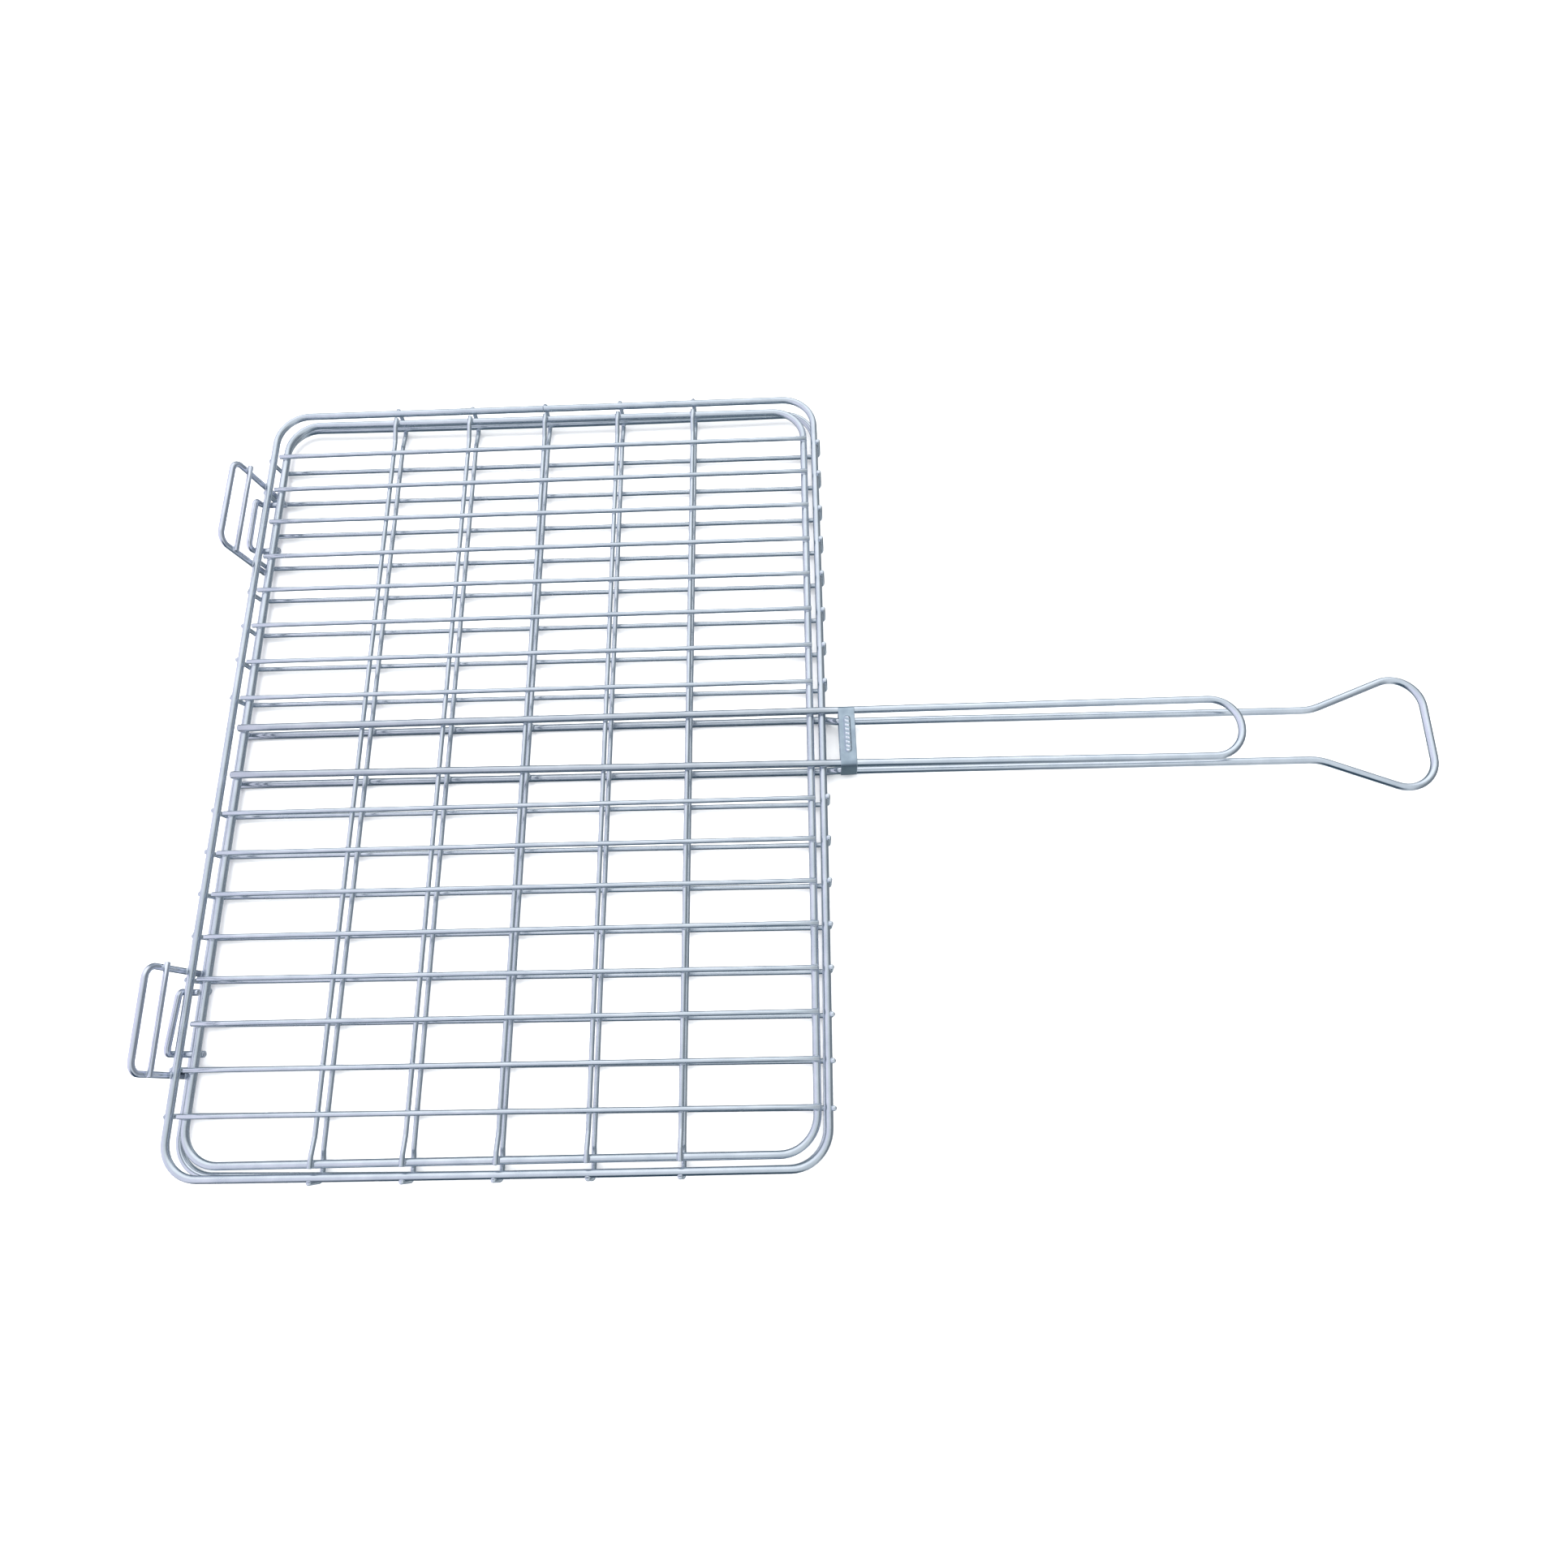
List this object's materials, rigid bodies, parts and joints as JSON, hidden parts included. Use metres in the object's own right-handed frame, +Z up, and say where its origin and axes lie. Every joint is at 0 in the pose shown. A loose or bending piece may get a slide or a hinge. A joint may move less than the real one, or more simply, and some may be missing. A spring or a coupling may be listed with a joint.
{
  "type": "grill basket",
  "caption": "Folding wire grill basket: a shallow tray and a flat lid hooked together at the back, long wire handles and a sliding band that clamps them shut.",
  "frame": {"origin": "under the middle of the whole length, on the surface that the basket lies on", "axes": "+X from the hinge side towards the handles' end, +Y towards the side that is far from a person who holds the handle in the right hand, +Z up from the tray to the lid"},
  "size_m": [0.7498, 0.5056, 0.0523],
  "materials": {
    "tray_wire": "bright plated steel wire, slightly wavy from drawing",
    "lid_wire": "bright plated steel wire",
    "hinge_wire": "bright plated steel wire, bent to short loops",
    "handle_wire": "smooth bright plated thick wire",
    "band_sheet": "plated sheet with a plain raised strip, satin"
  },
  "bodies": {
    "tray": {"tray_upper_rim": "tray_wire", "tray_lower_rim": "tray_wire", "tray_bar_01": "tray_wire", "tray_bar_02": "tray_wire", "tray_bar_03": "tray_wire", "tray_bar_04": "tray_wire", "tray_bar_05": "tray_wire", "tray_bar_06": "tray_wire", "tray_bar_07": "tray_wire", "tray_bar_08": "tray_wire", "tray_bar_09": "tray_wire", "tray_bar_10": "tray_wire", "tray_bar_11": "tray_wire", "tray_bar_12": "tray_wire", "tray_bar_13": "tray_wire", "tray_bar_14": "tray_wire", "tray_bar_15": "tray_wire", "tray_bar_16": "tray_wire", "tray_cross_wire_01": "tray_wire", "tray_cross_wire_02": "tray_wire", "tray_cross_wire_03": "tray_wire", "tray_cross_wire_04": "tray_wire", "tray_cross_wire_05": "tray_wire", "tray_handle": "handle_wire", "hinge_loop_far": "hinge_wire", "loop_crossbar_far": "tray_wire", "hinge_loop_near": "hinge_wire", "loop_crossbar_near": "tray_wire"},
    "lid": {"lid_rim": "lid_wire", "lid_bar_01": "lid_wire", "lid_bar_02": "lid_wire", "lid_bar_03": "lid_wire", "lid_bar_04": "lid_wire", "lid_bar_05": "lid_wire", "lid_bar_06": "lid_wire", "lid_bar_07": "lid_wire", "lid_bar_08": "lid_wire", "lid_bar_09": "lid_wire", "lid_bar_10": "lid_wire", "lid_bar_11": "lid_wire", "lid_bar_12": "lid_wire", "lid_bar_13": "lid_wire", "lid_bar_14": "lid_wire", "lid_bar_15": "lid_wire", "lid_bar_16": "lid_wire", "lid_cross_wire_01": "lid_wire", "lid_cross_wire_02": "lid_wire", "lid_cross_wire_03": "lid_wire", "lid_cross_wire_04": "lid_wire", "lid_cross_wire_05": "lid_wire", "lid_handle": "handle_wire", "lid_hook_far": "hinge_wire", "lid_hook_near": "hinge_wire"},
    "band": {"sliding_band": "band_sheet"}
  },
  "joints": [
    {"name": "lid_hinge", "type": "hinge", "parent": "tray", "child": "lid", "pos_m": [-0.36493, 0, 0.02055], "axis": [0, -1, 0], "range_deg": [0, 77]},
    {"name": "band_slide", "type": "slide", "parent": "tray", "child": "band", "axis": [1, 0, 0], "range_m": [0, 0.27]}
  ]
}
